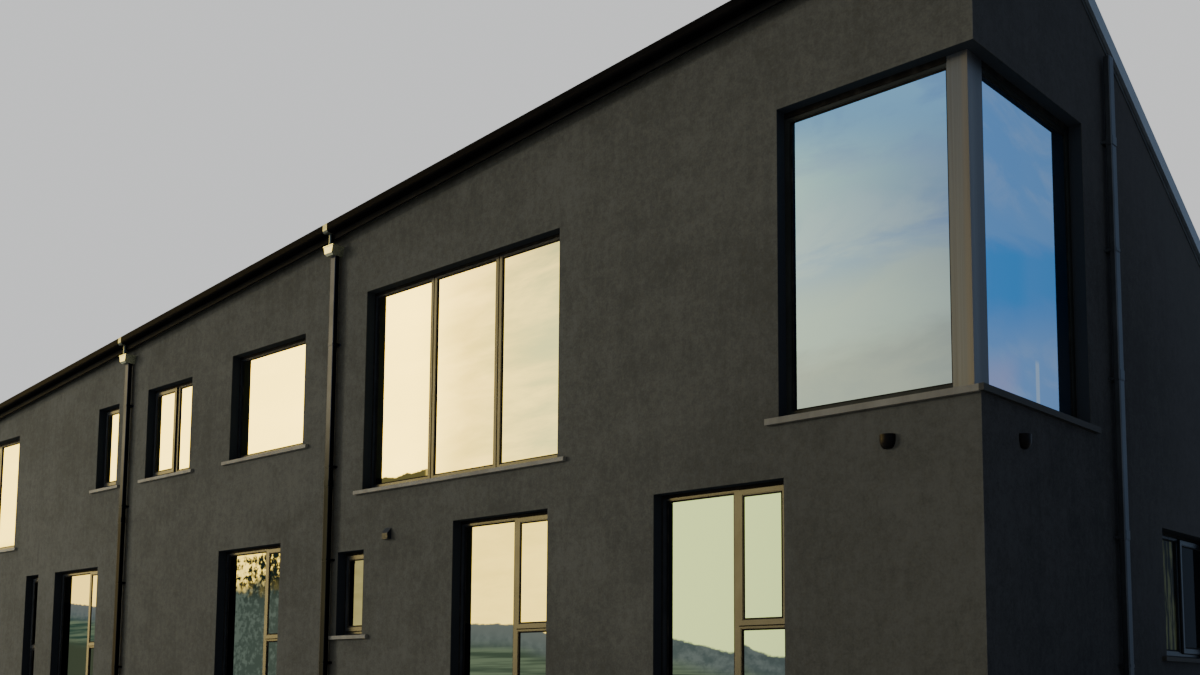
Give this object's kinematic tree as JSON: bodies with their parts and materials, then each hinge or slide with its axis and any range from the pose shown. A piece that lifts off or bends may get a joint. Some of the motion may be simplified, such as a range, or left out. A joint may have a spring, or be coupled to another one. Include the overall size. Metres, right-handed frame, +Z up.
{
  "type": "end range of a modern rendered house row",
  "caption": "Long two-storey rendered house range with a diagonal ridge, falling eaves, a window that wraps its corner, and rainwater pipes.",
  "frame": {"origin": "on the ground, in the middle of the plan of the outer walls", "axes": "+X along the front wall to the right as seen from the front, +Y into the house, +Z up"},
  "size_m": [23.749, 8.488, 8.2534],
  "materials": {
    "render_front": "fine sprayed charcoal render, matt",
    "render_gable": "fine sprayed charcoal render, matt, in shade",
    "concrete_floor": "smooth concrete",
    "timber_floor": "floor boards on joists",
    "roof_metal": "dark folded sheet with standing seams, satin",
    "verge_metal": "folded blue-grey sheet, satin",
    "fascia_paint": "dark grey, satin",
    "gutter_metal": "near black, satin",
    "post_metal": "warm grey satin sheet cladding",
    "frame_paint": "anthracite powder coat, satin",
    "window_glass": "clear sealed units that mirror the sky",
    "sill_stone": "smooth warm grey cast sills",
    "hopper_metal": "pale satin metal",
    "pipe_metal": "anthracite, satin",
    "fitting_metal": "dark bronze, satin"
  },
  "bodies": {
    "root": {"front_wall_ground_piers": "render_front", "front_wall_ground_panels": "render_front", "front_wall_upper_piers": "render_front", "front_wall_upper_panels": "render_front", "back_wall": "render_front", "right_gable_wall": "render_gable", "left_party_wall": "render_gable", "ground_floor": "concrete_floor", "first_floor": "timber_floor", "roof_front_slope": "roof_metal", "roof_back_slope": "roof_metal", "ridge_capping": "roof_metal", "right_verge": "verge_metal", "left_verge": "verge_metal", "front_fascia": "fascia_paint", "back_fascia": "fascia_paint", "front_gutter": "gutter_metal", "back_gutter": "gutter_metal", "corner_post": "post_metal", "corner_window_frames": "frame_paint", "picture_window_frames": "frame_paint", "small_upper_frames": "frame_paint", "ground_window_frames": "frame_paint", "gable_window_frame": "frame_paint", "back_window_frames": "frame_paint", "opening_sashes": "frame_paint", "corner_window_glass": "window_glass", "picture_window_glass": "window_glass", "small_upper_glass": "window_glass", "ground_window_glass": "window_glass", "gable_window_glass": "window_glass", "back_window_glass": "window_glass", "corner_window_sill": "sill_stone", "front_window_sills": "sill_stone", "gable_window_sill": "sill_stone", "back_window_sills": "sill_stone", "gutter_outlets": "hopper_metal", "hopper_heads": "hopper_metal", "middle_downpipe": "pipe_metal", "left_downpipe": "pipe_metal", "end_downpipe": "pipe_metal", "gable_downpipe": "pipe_metal", "back_downpipe": "pipe_metal", "wall_lights": "fitting_metal", "wall_vent": "fitting_metal"}
  },
  "joints": []
}
